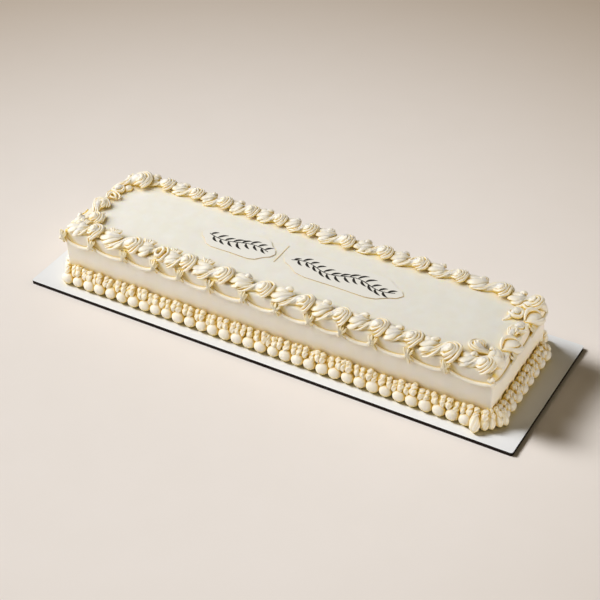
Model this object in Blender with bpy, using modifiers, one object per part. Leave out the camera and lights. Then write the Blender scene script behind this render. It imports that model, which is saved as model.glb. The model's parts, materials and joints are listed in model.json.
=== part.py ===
"""A long rectangular wedding cake with piped buttercream borders, built together with its board.

Units are metres, +Z is up. The origin is the middle of the board's underside, +X runs along
the long side and -Y is the front. Piping is given in millimetres, because it is judged that way.
"""
import math
import random

import bmesh
import bpy
from mathutils import Vector

# Driving dimensions of the board and the cake
MM = 0.001
GAP = 0.3 * MM
WELD = 0.01 * MM
BOARD_LENGTH = 0.680
BOARD_WIDTH = 0.218
BOARD_THICKNESS = 0.005
BOARD_CORNER = 0.003
CAKE_LENGTH = 0.600
CAKE_WIDTH = 0.154
CAKE_HEIGHT = 0.074
CAKE_ROUNDING = 0.003
CAKE_X = -0.0015
CAKE_TOP = BOARD_THICKNESS + CAKE_HEIGHT

# Edges of the cake, seen from above
LEFT = CAKE_X - CAKE_LENGTH / 2
RIGHT = CAKE_X + CAKE_LENGTH / 2
FRONT = -CAKE_WIDTH / 2
BACK = CAKE_WIDTH / 2

# Further out than any piece reaches
FAR = BOARD_LENGTH

# Top border: scrolls with a ruffle and a ball between them. The heads of the scrolls lie where the
# hand piped them: along X on the long sides and along Y on the short ones, in millimetres.
FRONT_HEADS = (-261, -200, -160, -120, -67, -8, 48, 98, 146, 190, 238, 285)
BACK_HEADS = (-240, -194, -150, -109, -67, -22, 31, 84, 133, 186, 243, 288)
LEFT_HEADS = (-50, -9, 32)
RIGHT_HEADS = (-47, 8, 56)
BORDER_START = -298
SIDE_START = -92
BALL_SHARE = 0.57
HEAD_REACH = 6.0
BORDER_INSET = 11 * MM
BORDER_CELL = 29 * MM
EDGE_DROOP = 5 * MM
DROOP_START = 6 * MM
DROOP_REACH = 10 * MM
DOME_RADIUS = 10.5 * MM
DOME_INSET = 7 * MM
DOME_RISE = 2 * MM

# Strokes of the top border: rows of (along, to the right, radius, lift). Along is a share of the
# stroke's length, the lift is in radii, and the rest is in millimetres. The curl of a scroll is rows
# of (angle in degrees, radius) round its middle.
TAIL_OVERLAP = 6.0
TAIL_ROWS = ((1.0, 1.5, 3.6, 1.1), (0.5, -0.5, 5.0, 1.1))
CURL = 5.3
CURL_ROWS = ((-80, 5.6), (-10, 5.3), (60, 4.9), (130, 3.8))
HEAD_LIFT = 1.25
RUFFLE_ROWS = ((1.0, 11.5, 3.8, 1.1), (0.55, 3.5, 6.0, 1.1), (0.05, -7.0, 4.8, 1.4))

# Scrolls that reach in from a short side: inward shift and place along the side in millimetres,
# heading in degrees, size and length of tail
LEFT_EXTRAS = ((20, -38, 22, 1.05, 26), (19, 40, -62, 1.10, 26))
RIGHT_EXTRAS = ((-17, -45, 150, 1.05, 26), (-13, 33, 80, 0.95, 14))

# Swags: a rope from knot to knot, high at its start and low where it ends. The knots between the
# corners lie at these places, in millimetres.
LONG_KNOTS = (-256, -206, -160, -122, -78, -29, 17, 63, 106, 147, 194, 241)
SHORT_KNOTS = (-26, 26)
SWAG_TOP = 0.0742
KNOT_HEIGHT = 15 * MM
KNOT_RADIUS = 4.3
CORNER_KNOT_RADIUS = 5.2
KNOT_ROOM = 7 * MM
ROPE_RADIUS = 2.0
ROPE_START = 0.0700
ROPE_LOW = 0.0610
ROPE_END = 0.0635
ROPE_STEPS = 4

# Base border: round beads below, small upright shells above them
BEADS_LONG = 34
BEADS_SHORT = 8
BEAD_RADIUS = 8.4
BEAD_WAIST = 0.62
BEAD_FLAT = 3.0 * MM
BEAD_SIDE_INSET = 12.2 * MM
CORNER_BEAD_SIZE = 1.06
BEAD_OUT = 9.2 * MM
CORNER_BEAD_OUT = 6.8 * MM
BEAD_CENTRE = 9.3 * MM
SHELL_PITCH = 10.5 * MM
SHELL_BOTTOM = BOARD_THICKNESS + 18.3 * MM
SHELL_TOP = BOARD_THICKNESS + 25 * MM
SHELL_OUT = 8.6 * MM
SHELL_VALLEY = 0.72

# Sugar paper plaques on the top, cut to the outline of the ornament that they carry
PLAQUE_THICKNESS = 0.8 * MM
PLAQUE_Y = 4 * MM
PLAQUE_POINTS = 28
PLAQUE_WAVES = 6
PLAQUE_WAVE_DEPTH = 0.06
PLAQUE_SQUARENESS = 0.8
PLAQUES = {"plaque_left": (-0.088, 0.100, 0.048), "plaque_right": (0.061, 0.156, 0.048)}

random.seed(57)


def clear_scene():
    """Take away what a new file holds."""
    for thing in list(bpy.data.objects):
        bpy.data.objects.remove(thing, do_unlink=True)


def new_collection(name):
    """Return a new collection linked to the scene."""
    collection = bpy.data.collections.new(name)
    bpy.context.scene.collection.children.link(collection)
    return collection


clear_scene()
parts = new_collection("wedding_cake")
cutters = new_collection("cutters")


def material(name, colour, roughness):
    """Return a plain Principled material."""
    new = bpy.data.materials.new(name)
    new.use_nodes = True
    shader = new.node_tree.nodes["Principled BSDF"]
    shader.inputs["Base Color"].default_value = (*colour, 1.0)
    shader.inputs["Roughness"].default_value = roughness
    shader.inputs["Metallic"].default_value = 0.0
    return new


BUTTERCREAM = material("buttercream", (0.86, 0.78, 0.62), 0.45)
PIPED_CREAM = material("piped_buttercream", (0.90, 0.83, 0.66), 0.42)
WHITE_BOARD = material("white_faced_board", (0.86, 0.87, 0.88), 0.35)
SUGAR_PAPER = material("sugar_paper", (0.87, 0.83, 0.74), 0.55)


def keep(thing, name, finish):
    """Name a finished solid, give it its material and put it with the parts."""
    thing.name = name
    thing.data.name = name
    thing.data.materials.clear()
    thing.data.materials.append(finish)
    for collection in list(thing.users_collection):
        collection.objects.unlink(thing)
    parts.objects.link(thing)
    return thing


def apply_modifiers(thing):
    """Replace the mesh by what its modifiers make of it."""
    bpy.context.view_layer.update()
    evaluated = thing.evaluated_get(bpy.context.evaluated_depsgraph_get())
    thing.data = bpy.data.meshes.new_from_object(evaluated)
    thing.modifiers.clear()


def box(name, low, high):
    """Return a box between two corners, in the cutters collection."""
    middle = (Vector(low) + Vector(high)) / 2
    size = Vector(high) - Vector(low)
    mesh = bpy.data.meshes.new(name)
    cage = bmesh.new()
    bmesh.ops.create_cube(cage, size=1.0)
    bmesh.ops.scale(cage, vec=size, verts=cage.verts)
    cage.to_mesh(mesh)
    cage.free()
    thing = bpy.data.objects.new(name, mesh)
    thing.location = middle
    thing.hide_render = True
    thing.display_type = "WIRE"
    cutters.objects.link(thing)
    return thing


def cut(thing, cutter, operation="DIFFERENCE", solver="EXACT"):
    """Cut a solid by another one, or keep only what lies inside it."""
    modifier = thing.modifiers.new(cutter.name, "BOOLEAN")
    modifier.object = cutter
    modifier.operation = operation
    modifier.solver = solver
    apply_modifiers(thing)


def drop_scraps(thing):
    """Keep only the largest connected piece of a mesh."""
    cage = bmesh.new()
    cage.from_mesh(thing.data)
    left = set(cage.verts)
    groups = []
    while left:
        group = [left.pop()]
        for vertex in group:
            near = {edge.other_vert(vertex) for edge in vertex.link_edges} & left
            left -= near
            group.extend(near)
        groups.append(group)
    for group in sorted(groups, key=len)[:-1]:
        bmesh.ops.delete(cage, geom=group, context="VERTS")
    cage.to_mesh(thing.data)
    cage.free()


def solid_from_curve(guide):
    """Return a curve object's closed mesh as a new object, with its caps welded on."""
    cutters.objects.link(guide)
    bpy.context.view_layer.update()
    evaluated = guide.evaluated_get(bpy.context.evaluated_depsgraph_get())
    mesh = bpy.data.meshes.new_from_object(evaluated)
    cage = bmesh.new()
    cage.from_mesh(mesh)
    bmesh.ops.remove_doubles(cage, verts=cage.verts, dist=WELD)
    bmesh.ops.recalc_face_normals(cage, faces=cage.faces)
    cage.to_mesh(mesh)
    cage.free()
    solid = bpy.data.objects.new(guide.name, mesh)
    bpy.data.objects.remove(guide, do_unlink=True)
    return solid


def stroke(places, radii, resolution=1):
    """Return one piped stroke: a line with a radius in millimetres at each of its points."""
    curve = bpy.data.curves.new("stroke", "CURVE")
    curve.dimensions = "3D"
    curve.bevel_depth = MM
    curve.bevel_resolution = resolution
    curve.use_fill_caps = True
    line = curve.splines.new("POLY")
    line.points.add(len(places) - 1)
    for point, place, radius in zip(line.points, places, radii):
        point.co = (*place, 1.0)
        point.radius = radius
    return solid_from_curve(bpy.data.objects.new("stroke", curve))


def fuse(pieces, name, solver="EXACT"):
    """Join the pieces to the first one by one union, and take them away."""
    core, *others = pieces
    cutters.objects.link(core)
    group = new_collection(name + "_pieces")
    for piece in others:
        group.objects.link(piece)
    union = core.modifiers.new("union", "BOOLEAN")
    union.operation = "UNION"
    union.operand_type = "COLLECTION"
    union.collection = group
    union.solver = solver
    apply_modifiers(core)
    for piece in others:
        bpy.data.objects.remove(piece, do_unlink=True)
    bpy.data.collections.remove(group)
    return core


# Board, cake and the space that the piping leaves free round the cake
def make_board():
    """The thin board, with rounded corners."""
    half = Vector((BOARD_LENGTH / 2, BOARD_WIDTH / 2, 0.0))
    board = box("board", -half, half + Vector((0.0, 0.0, BOARD_THICKNESS)))
    cage = bmesh.new()
    cage.from_mesh(board.data)
    tall = BOARD_THICKNESS / 2
    upright = [edge for edge in cage.edges if abs(edge.verts[0].co.z - edge.verts[1].co.z) > tall]
    bmesh.ops.bevel(cage, geom=upright, offset=BOARD_CORNER, segments=3, affect="EDGES", profile=0.5)
    cage.to_mesh(board.data)
    cage.free()
    board.hide_render = False
    board.display_type = "TEXTURED"
    return keep(board, "board", WHITE_BOARD)


def make_cake():
    """The iced cake, one uncut block with softly rounded edges."""
    low = (LEFT, FRONT, BOARD_THICKNESS + GAP)
    cake = box("iced_cake", low, (RIGHT, BACK, CAKE_TOP))
    rounding = cake.modifiers.new("rounding", "BEVEL")
    rounding.width = CAKE_ROUNDING
    rounding.segments = 3
    cake.hide_render = False
    cake.display_type = "TEXTURED"
    return keep(cake, "iced_cake", BUTTERCREAM)


make_board()
make_cake()
low_clear = (LEFT - GAP, FRONT - GAP, 0.0)
cake_clearance = box("cake_clearance", low_clear, (RIGHT + GAP, BACK + GAP, CAKE_TOP + GAP))


# Top border
def rest_height(x, y):
    """Height of what the border lies on: the cake's top, drooping over its edge."""
    outside = max(abs(x - CAKE_X) - CAKE_LENGTH / 2, abs(y) - CAKE_WIDTH / 2)
    share = min(max((outside + DROOP_START) / DROOP_REACH, 0.0), 1.0)
    return CAKE_TOP - EDGE_DROOP * share


def piped_line(origin, heading, size, line):
    """Pipe a stroke through rows of (along, to the right, radius, lift); the lift is in radii."""
    along = Vector((math.cos(heading), math.sin(heading)))
    right = Vector((along.y, -along.x))
    places = []
    for s, n, radius, lift in line:
        flat = Vector(origin) + (along * s + right * n) * size * MM
        height = rest_height(flat.x, flat.y) + lift * radius * size * MM
        places.append(Vector((flat.x, flat.y, height)))
    return stroke(places, [radius * size for s, n, radius, lift in line])


def scroll(origin, heading, size, tail):
    """A reversed shell: a tail that swells, then curls clockwise over itself."""
    line = [(-share * tail, right, radius, lift) for share, right, radius, lift in TAIL_ROWS]
    for angle, radius in CURL_ROWS:
        turn = math.radians(angle)
        line.append((CURL * math.cos(turn), CURL + CURL * math.sin(turn), radius, HEAD_LIFT))
    return piped_line(origin, heading, size, line)


def ruffle(origin, heading, length):
    """A smooth petal that falls over the curl side, with a ball at its other end."""
    line = [(-share * length, right, radius, lift) for share, right, radius, lift in RUFFLE_ROWS]
    return piped_line(origin, heading, 1.0, line)


def corner_dome(x, y):
    """The fat smooth shell right on a corner of the cake."""
    centre = Vector((x + math.copysign(DOME_INSET, CAKE_X - x), y - math.copysign(DOME_INSET, y)))
    mesh = bpy.data.meshes.new("dome")
    cage = bmesh.new()
    bmesh.ops.create_uvsphere(cage, u_segments=8, v_segments=6, radius=DOME_RADIUS)
    cage.to_mesh(mesh)
    cage.free()
    dome = bpy.data.objects.new("dome", mesh)
    dome.location = (centre.x, centre.y, CAKE_TOP + DOME_RISE)
    return dome


def side_pieces(heads, start, fixed, heading):
    """The ruffles and scrolls of one side, in the order in which they are piped."""
    pieces = []
    for before, head in zip((start, *heads), heads):
        pitch = head - before
        ball = before + BALL_SHARE * pitch
        spots = [(place * MM, fixed) if heading == 0 else (fixed, place * MM) for place in (ball, head)]
        turn = math.radians(heading + random.uniform(-4, 4))
        pieces.append(ruffle(spots[0], turn, ball - before - HEAD_REACH))
        pieces.append(scroll(spots[1], turn, random.uniform(0.97, 1.05), head - ball + TAIL_OVERLAP))
    return pieces


def extra_pieces(middle_x, extras):
    """The scrolls that reach in from a short side."""
    pieces = []
    for inward, y, heading, size, tail in extras:
        pieces.append(scroll((middle_x + inward * MM, y * MM), math.radians(heading), size, tail))
    return pieces


pieces = side_pieces(FRONT_HEADS, BORDER_START, FRONT + BORDER_INSET, 0)
pieces += side_pieces(BACK_HEADS, BORDER_START, BACK - BORDER_INSET, 0)
pieces += side_pieces(LEFT_HEADS, SIDE_START, LEFT + BORDER_INSET, 90)
pieces += side_pieces(RIGHT_HEADS, SIDE_START, RIGHT - BORDER_INSET, 90)
pieces += extra_pieces(LEFT + BORDER_INSET, LEFT_EXTRAS)
pieces += extra_pieces(RIGHT - BORDER_INSET, RIGHT_EXTRAS)
pieces += [corner_dome(x, y) for x in (LEFT, RIGHT) for y in (FRONT, BACK)]
ring = fuse(pieces, "border_ring", "MANIFOLD")
cut(ring, cake_clearance, "DIFFERENCE", "MANIFOLD")


def border_run(name, low, high):
    """The part of the ring of piping that lies on one side."""
    run = ring.copy()
    run.data = ring.data.copy()
    cutters.objects.link(run)
    cell = box(name + "_cell", (*low, SWAG_TOP + GAP), (*high, 2 * CAKE_TOP))
    cut(run, cell, "INTERSECT", "MANIFOLD")
    drop_scraps(run)
    return keep(run, name, PIPED_CREAM)


seam = BACK - BORDER_CELL
border_run("top_border_front", (-FAR, -FAR), (FAR, -seam))
border_run("top_border_back", (-FAR, seam), (FAR, FAR))
border_run("top_border_left", (-FAR, GAP - seam), (0.0, seam - GAP))
border_run("top_border_right", (0.0, GAP - seam), (FAR, seam - GAP))
bpy.data.objects.remove(ring, do_unlink=True)


# Swags and their knots
def knot(x, y, radius=KNOT_RADIUS):
    """The short upright knot that two ropes meet in."""
    shape = ((0.0, 0.75), (0.4, 1.0), (1.0, 0.5))
    places = [Vector((x, y, SWAG_TOP - share * KNOT_HEIGHT)) for share, width in shape]
    return stroke(places, [radius * width for share, width in shape])


def rope(start, end):
    """One hanging rope between two knots."""
    places = []
    for step in range(ROPE_STEPS + 1):
        share = step / ROPE_STEPS
        flat = Vector(start).lerp(Vector(end), share)
        sag = 4 * share * (1 - share)
        straight = ROPE_START + (ROPE_END - ROPE_START) * share
        low_point = straight - sag * ((ROPE_START + ROPE_END) / 2 - ROPE_LOW) * 1.25
        places.append(Vector((flat.x, flat.y, low_point)))
    return stroke(places, [ROPE_RADIUS] * len(places), 0)


def swag_run(name, spots, corner_knots, cell):
    """The ropes and knots of one side, fused and cut flush with the cake."""
    pieces = [rope(a, b) for a, b in zip(spots[:-1], spots[1:])]
    pieces += [knot(*spot) for spot in spots[1:-1]]
    if corner_knots:
        pieces += [knot(*spot, CORNER_KNOT_RADIUS) for spot in (spots[0], spots[-1])]
    core = fuse(pieces, name)
    cut(core, cake_clearance)
    cut(core, cell, "INTERSECT")
    return keep(core, name, PIPED_CREAM)


for name, y in (("swags_front", FRONT), ("swags_back", BACK)):
    edges = sorted((y - math.copysign(KNOT_ROOM, y), 2 * y))
    cell = box(name + "_cell", (-FAR, edges[0], 0.0), (FAR, edges[1], SWAG_TOP))
    swag_run(name, [(x, y) for x in (LEFT, *(knot_x * MM for knot_x in LONG_KNOTS), RIGHT)], True, cell)
for name, x in (("swags_left", LEFT), ("swags_right", RIGHT)):
    inner = KNOT_ROOM + GAP
    cell = box(name + "_cell", (-FAR, FRONT + inner, 0.0), (FAR, BACK - inner, SWAG_TOP))
    swag_run(name, [(x, y) for y in (FRONT, *(knot_y * MM for knot_y in SHORT_KNOTS), BACK)], False, cell)


# Base border
def bead_line(spots, sizes):
    """A string of beads: two wide rings for each bead and a waist between them."""
    height = BOARD_THICKNESS + BEAD_CENTRE
    places = []
    radii = []
    for number, (spot, size) in enumerate(zip(spots, sizes)):
        after = spots[min(number + 1, len(spots) - 1)]
        before = spots[max(number - 1, 0)]
        along = (after - before).normalized() * BEAD_FLAT
        for step in (-1, 1):
            flat = spot + along * step
            places.append(Vector((flat.x, flat.y, height)))
            radii.append(BEAD_RADIUS * size)
        if number + 1 < len(spots):
            flat = (spot + after) / 2
            places.append(Vector((flat.x, flat.y, height)))
            radii.append(BEAD_RADIUS * BEAD_WAIST)
    return stroke(places, radii)


def along_side(fixed, start, end, count, axis):
    """Places of evenly spaced things along a side."""
    line = [start + (end - start) * number / (count - 1) for number in range(count)]
    if axis == "x":
        return [Vector((value, fixed)) for value in line]
    return [Vector((fixed, value)) for value in line]


for name, side, y in (("base_beads_front", -1, FRONT), ("base_beads_back", 1, BACK)):
    row = y + side * BEAD_OUT
    spots = along_side(row, LEFT + BEAD_RADIUS * MM, RIGHT - BEAD_RADIUS * MM, BEADS_LONG, "x")
    corner_y = y + side * CORNER_BEAD_OUT
    spots.insert(0, Vector((LEFT - CORNER_BEAD_OUT, corner_y)))
    spots.append(Vector((RIGHT + CORNER_BEAD_OUT, corner_y)))
    sizes = [random.uniform(0.95, 1.03) for spot in spots]
    sizes[0] = CORNER_BEAD_SIZE
    sizes[-1] = CORNER_BEAD_SIZE
    keep(bead_line(spots, sizes), name, PIPED_CREAM)
for name, side, x in (("base_beads_left", -1, LEFT), ("base_beads_right", 1, RIGHT)):
    column = x + side * BEAD_OUT
    spots = along_side(column, FRONT + BEAD_SIDE_INSET, BACK - BEAD_SIDE_INSET, BEADS_SHORT, "y")
    sizes = [random.uniform(0.97, 1.04) for spot in spots]
    keep(bead_line(spots, sizes), name, PIPED_CREAM)


def shell_line(name, start, end, middle_out, cell):
    """A row of small upright shells: one ridge and one valley for each of them."""
    start = Vector(start)
    end = Vector(end)
    count = round((end - start).length / SHELL_PITCH)
    height = (SHELL_BOTTOM + SHELL_TOP) / 2
    tall = (SHELL_TOP - SHELL_BOTTOM) / 2 / MM
    places = []
    radii = []
    for step in range(2 * count + 1):
        flat = start.lerp(end, step / (2 * count))
        places.append(Vector((flat.x, flat.y, 0.0)))
        radii.append(tall if step % 2 else tall * SHELL_VALLEY)
    line = stroke(places, radii, 0)
    squash = (SHELL_OUT - GAP) / (tall * MM)
    across = Vector(middle_out)
    for vertex in line.data.vertices:
        offset = vertex.co.x * across.x + vertex.co.y * across.y - start.dot(across)
        vertex.co.x += (squash - 1) * offset * across.x
        vertex.co.y += (squash - 1) * offset * across.y
        vertex.co.z += height
    cutters.objects.link(line)
    cut(line, cake_clearance)
    cut(line, cell, "INTERSECT")
    return keep(line, name, PIPED_CREAM)


far = SHELL_OUT - 2 * GAP
for name, side, y in (("base_shells_front", -1, FRONT), ("base_shells_back", 1, BACK)):
    edges = sorted((y, 2 * y))
    cell = box(name + "_cell", (-FAR, edges[0], 0.0), (FAR, edges[1], 1.0))
    shell_line(name, (LEFT - far, y), (RIGHT + far, y), (0, side), cell)
for name, side, x in (("base_shells_left", -1, LEFT), ("base_shells_right", 1, RIGHT)):
    cell = box(name + "_cell", (-FAR, FRONT + GAP, 0.0), (FAR, BACK - GAP, 1.0))
    shell_line(name, (x, FRONT + GAP), (x, BACK - GAP), (side, 0), cell)


# Sugar paper plaques
def make_plaque(name, middle_x, length, width):
    """A thin plaque with a softly waved outline, narrower at its ends."""
    curve = bpy.data.curves.new(name, "CURVE")
    curve.dimensions = "2D"
    curve.fill_mode = "BOTH"
    curve.extrude = PLAQUE_THICKNESS / 2
    outline = curve.splines.new("POLY")
    outline.points.add(PLAQUE_POINTS - 1)
    outline.use_cyclic_u = True
    for number, point in enumerate(outline.points):
        turn = 2 * math.pi * number / PLAQUE_POINTS
        bulge = 1.0 + PLAQUE_WAVE_DEPTH * math.cos(PLAQUE_WAVES * turn)
        x = math.copysign(abs(math.cos(turn)) ** PLAQUE_SQUARENESS, math.cos(turn)) * bulge
        y = math.copysign(abs(math.sin(turn)) ** PLAQUE_SQUARENESS, math.sin(turn)) * bulge
        point.co = (x * length / 2, y * width / 2, 0.0, 1.0)
    plaque = solid_from_curve(bpy.data.objects.new(name, curve))
    plaque.location = (middle_x, PLAQUE_Y, CAKE_TOP + GAP + PLAQUE_THICKNESS / 2)
    return keep(plaque, name, SUGAR_PAPER)


for name, (middle_x, length, width) in PLAQUES.items():
    make_plaque(name, middle_x, length, width)
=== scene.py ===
# %% [markdown]
# # A long wedding cake in piped buttercream
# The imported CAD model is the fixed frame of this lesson. It says where the board, the cake, the
# borders and the plaques are. Each piece here takes the place of one of its solids, or gives it a finish.

# %% Load the frame
import json
import math

import bmesh
import bpy
import numpy as np
from mathutils import Matrix, Vector

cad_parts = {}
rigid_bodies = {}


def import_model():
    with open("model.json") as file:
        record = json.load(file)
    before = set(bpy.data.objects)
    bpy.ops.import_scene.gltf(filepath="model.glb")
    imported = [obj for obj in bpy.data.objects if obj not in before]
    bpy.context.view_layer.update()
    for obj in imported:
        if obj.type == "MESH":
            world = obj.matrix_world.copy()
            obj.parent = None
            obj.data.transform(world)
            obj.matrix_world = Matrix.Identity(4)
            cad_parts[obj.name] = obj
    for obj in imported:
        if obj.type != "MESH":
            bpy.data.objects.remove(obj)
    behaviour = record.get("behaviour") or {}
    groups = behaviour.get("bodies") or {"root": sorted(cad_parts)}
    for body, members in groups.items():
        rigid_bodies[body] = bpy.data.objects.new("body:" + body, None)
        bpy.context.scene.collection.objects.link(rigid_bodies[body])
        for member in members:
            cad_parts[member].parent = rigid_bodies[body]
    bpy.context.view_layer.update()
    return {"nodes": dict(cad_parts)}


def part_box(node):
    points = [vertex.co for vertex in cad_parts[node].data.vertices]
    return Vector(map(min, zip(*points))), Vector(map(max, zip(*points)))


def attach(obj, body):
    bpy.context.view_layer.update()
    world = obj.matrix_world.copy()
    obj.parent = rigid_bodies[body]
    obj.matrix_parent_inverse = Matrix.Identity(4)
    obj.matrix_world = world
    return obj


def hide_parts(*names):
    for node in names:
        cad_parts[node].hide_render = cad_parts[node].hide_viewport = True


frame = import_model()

print("nodes of the frame:", len(frame["nodes"]))

# %% [markdown]
# ## Measures and chance
# A hand pipes no two scrolls alike, so sizes and turns vary a little. The numbers come from one
# seeded source, which makes every run give the same cake. Piping is written in millimetres.

# %% Measures that several pieces share
MM = 0.001
rng = np.random.default_rng(11)

cake_low, cake_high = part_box("iced_cake")
LEFT, RIGHT = cake_low.x / MM, cake_high.x / MM
FRONT, BACK = cake_low.y / MM, cake_high.y / MM
TOP = cake_high.z / MM
BOARD_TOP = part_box("board")[1].z / MM
MIDDLE_X = (LEFT + RIGHT) / 2
HALF_LENGTH, HALF_WIDTH = (RIGHT - LEFT) / 2, (BACK - FRONT) / 2
print(f"cake {RIGHT - LEFT:.0f} x {BACK - FRONT:.0f} mm, from {BOARD_TOP:.0f} to {TOP:.0f} mm in height")

# %% [markdown]
# ## Colour and nodes
# Colours are picked on a screen as sRGB hex values, but the shader works with linear light, so one
# function converts them. One more adds a node, fills in its settings and connects its links. The
# others hold what several finishes share, such as how far the surroundings close a point in.

# %% Helpers for materials
RGBA = ("data_type", "RGBA")


def paint(code, alpha=1.0):
    """Linear colour of an sRGB hex value."""
    shares = [int(code[place:place + 2], 16) / 255 for place in (1, 3, 5)]
    return [s / 12.92 if s <= 0.04045 else ((s + 0.055) / 1.055) ** 2.4 for s in shares] + [alpha]


def add(tree, kind, settings=(), **links):
    """Add a node. Settings are pairs of a socket or property and its value; links name a socket."""
    node = tree.nodes.new(kind)
    for key, value in settings:
        if isinstance(key, str) and hasattr(node, key):
            setattr(node, key, value)
        else:
            node.inputs[key].default_value = value
    for key, source in links.items():
        socket = int(key[1:]) if key[1:].isdigit() else key.replace("_", " ")
        tree.links.new(source, node.inputs[socket])
    return node


def new_material(name):
    """A material with its node tree and its shader."""
    material = bpy.data.materials.new(name)
    material.use_nodes = True
    tree = material.node_tree
    return material, tree, tree.nodes["Principled BSDF"]


def set_values(shader, **values):
    """Set plain numbers on the shader's own sockets."""
    for name, value in values.items():
        shader.inputs[name.replace("_", " ")].default_value = value


def per_metre(size):
    """Texture scale for a pattern of this size in millimetres."""
    return 1.0 / (size * MM)


def shut_in(tree, reach, open_share, shut_share):
    """How much the surroundings within some millimetres close a point in, from 0 to 1."""
    hollow = add(tree, "ShaderNodeAmbientOcclusion", [("samples", 8), ("Distance", reach * MM)])
    return add(tree, "ShaderNodeMapRange", [("From Min", open_share), ("From Max", shut_share)],
               Value=hollow.outputs["AO"]).outputs[0]


def mottled(tree, place, size, detail, first, second):
    """A colour that wanders between two tones, in patches of this size in millimetres."""
    patches = add(tree, "ShaderNodeTexNoise", [("Scale", per_metre(size)), ("Detail", detail)], Vector=place)
    return add(tree, "ShaderNodeMix", [RGBA, (6, paint(first)), (7, paint(second))],
               _0=patches.outputs["Fac"]).outputs[2]


def faces_up(tree, least):
    """1 where a surface faces up, 0 where it is a side."""
    facing = add(tree, "ShaderNodeSeparateXYZ",
                 Vector=add(tree, "ShaderNodeNewGeometry").outputs["True Normal"])
    return add(tree, "ShaderNodeMath", [("operation", "GREATER_THAN"), (1, least)],
               _0=facing.outputs["Z"]).outputs[0]


print("a warm white in linear light:", [round(value, 3) for value in paint("#F6F1E2")])

# %% [markdown]
# ## Piped buttercream
# Butter and icing sugar, beaten pale and pressed through a nozzle. It scatters light inside, so it
# glows softly, its hollows look straw and its crevices amber, and cold fat gives it a satin skin. That straw
# and amber is light and shade, painted here into the colour; painting it by hand would fix it to one shape.
# So a `groove` value on each vertex says how deep it lies between two ridges and holds painted shade under
# strokes and beside knots, ambient occlusion finds the gaps between strokes, and both lead to the painted
# amber shade.

# %% Piped buttercream finish
CREAM_LIGHT = "#ECEAE4"
# Straw and amber are painted shade for hollows and crevices, not colours of the cream
STRAW_SHADE = "#F7DC8A"
AMBER_SHADE = "#EACD52"
CREAM_BLOTCH = "#F7F2E9"
GROOVE_SHADE_SHARE = 0.55
# Sizes of the fine sugar grain and of the warmer blotches, and the height of the grain
GRAIN, BLOTCH, GRAIN_HEIGHT = 1.2, 9.0, 0.15
# Reach of the surroundings, and how open a point is where the painted shade starts and where it is full
HOLLOW_SHADE = (12.0, 0.9, 0.3)
CREVICE_SHADE = (4.5, 0.78, 0.2)


def buttercream(name):
    """Creamed butter: pale where it stands out, painted straw shade in hollows and amber in crevices, with a
    fine grain.
    """
    material, tree, shader = new_material(name)
    place = add(tree, "ShaderNodeTexCoord").outputs["Object"]
    blotch = add(tree, "ShaderNodeTexNoise", [("Scale", per_metre(BLOTCH)), ("Detail", 3.0)], Vector=place)
    grain = add(tree, "ShaderNodeTexNoise", [("Scale", per_metre(GRAIN)), ("Detail", 2.0)], Vector=place)
    # groove carries the painted shade of each stroke
    groove = add(tree, "ShaderNodeAttribute", [("attribute_name", "groove")])
    ridge = add(tree, "ShaderNodeMath", [("operation", "MULTIPLY"), (1, GROOVE_SHADE_SHARE)],
                _0=groove.outputs["Fac"])
    painted_amber = add(tree, "ShaderNodeMath", [("operation", "ADD"), ("use_clamp", True)], _0=ridge.outputs[0],
                _1=shut_in(tree, *CREVICE_SHADE))
    # Painted straw shade in hollows, then painted amber shade in grooves and crevices
    straw = add(tree, "ShaderNodeMix", [RGBA, (6, paint(CREAM_LIGHT)), (7, paint(STRAW_SHADE))],
                _0=shut_in(tree, *HOLLOW_SHADE))
    tone = add(tree, "ShaderNodeMix", [RGBA, (7, paint(AMBER_SHADE))], _0=painted_amber.outputs[0],
               _6=straw.outputs[2])
    blotched = add(tree, "ShaderNodeMix", [RGBA, ("blend_type", "MULTIPLY"), (7, paint(CREAM_BLOTCH))],
                   _0=blotch.outputs["Fac"], _6=tone.outputs[2])
    bump = add(tree, "ShaderNodeBump", [("Strength", 0.25), ("Distance", GRAIN_HEIGHT * MM)],
               Height=grain.outputs["Fac"])
    tree.links.new(blotched.outputs[2], shader.inputs["Base Color"])
    tree.links.new(bump.outputs["Normal"], shader.inputs["Normal"])
    set_values(shader, Roughness=0.45, IOR=1.45, Subsurface_Weight=0.5, Subsurface_Radius=(1.0, 0.95, 0.7),
               Subsurface_Scale=2.0 * MM)
    return material


PIPED = buttercream("piped_buttercream")
print("piped buttercream:", len(PIPED.node_tree.nodes), "nodes")

# %% [markdown]
# ## Smooth buttercream
# The same cream, drawn flat with a scraper. It is almost white on top, where it faces up, and the sides
# get a little painted warmth that stands for light bounced onto them. The scraper leaves faint upright bands
# on the sides and fine ripples, far too low to model. Noise, stretched upward for the bands, gives both.
# Painted straw and amber shade gather near the piping, and a `shade` value holds the painted amber shade by
# the knots.

# %% Smooth buttercream finish
# The warmer white of the sides is painted bounce light, mixed in by how a face points
TOP_WHITE, SIDE_BOUNCE_WARMTH = "#F5F5F0", "#F6F2EA"
BAND_TINT = "#F8F4EB"
# Widths of a band and of a ripple, the share of a band's scale that is left upward, and a ripple's height
BAND, RIPPLE, BAND_STRETCH, RIPPLE_HEIGHT = 16.0, 5.0, 0.12, 0.3
# How level a face is where the painted side warmth starts to give way to the top's white, and where it is
# gone
LEVEL_RANGE = (0.3, 0.95)
# Reach and shares of the painted straw shade near the piping, and of the painted amber shade in tight corners
WALL_HOLLOW_SHADE = (16.0, 1.0, -0.8)
WALL_CREVICE_SHADE = (4.0, 0.4, 0.0)


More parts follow.
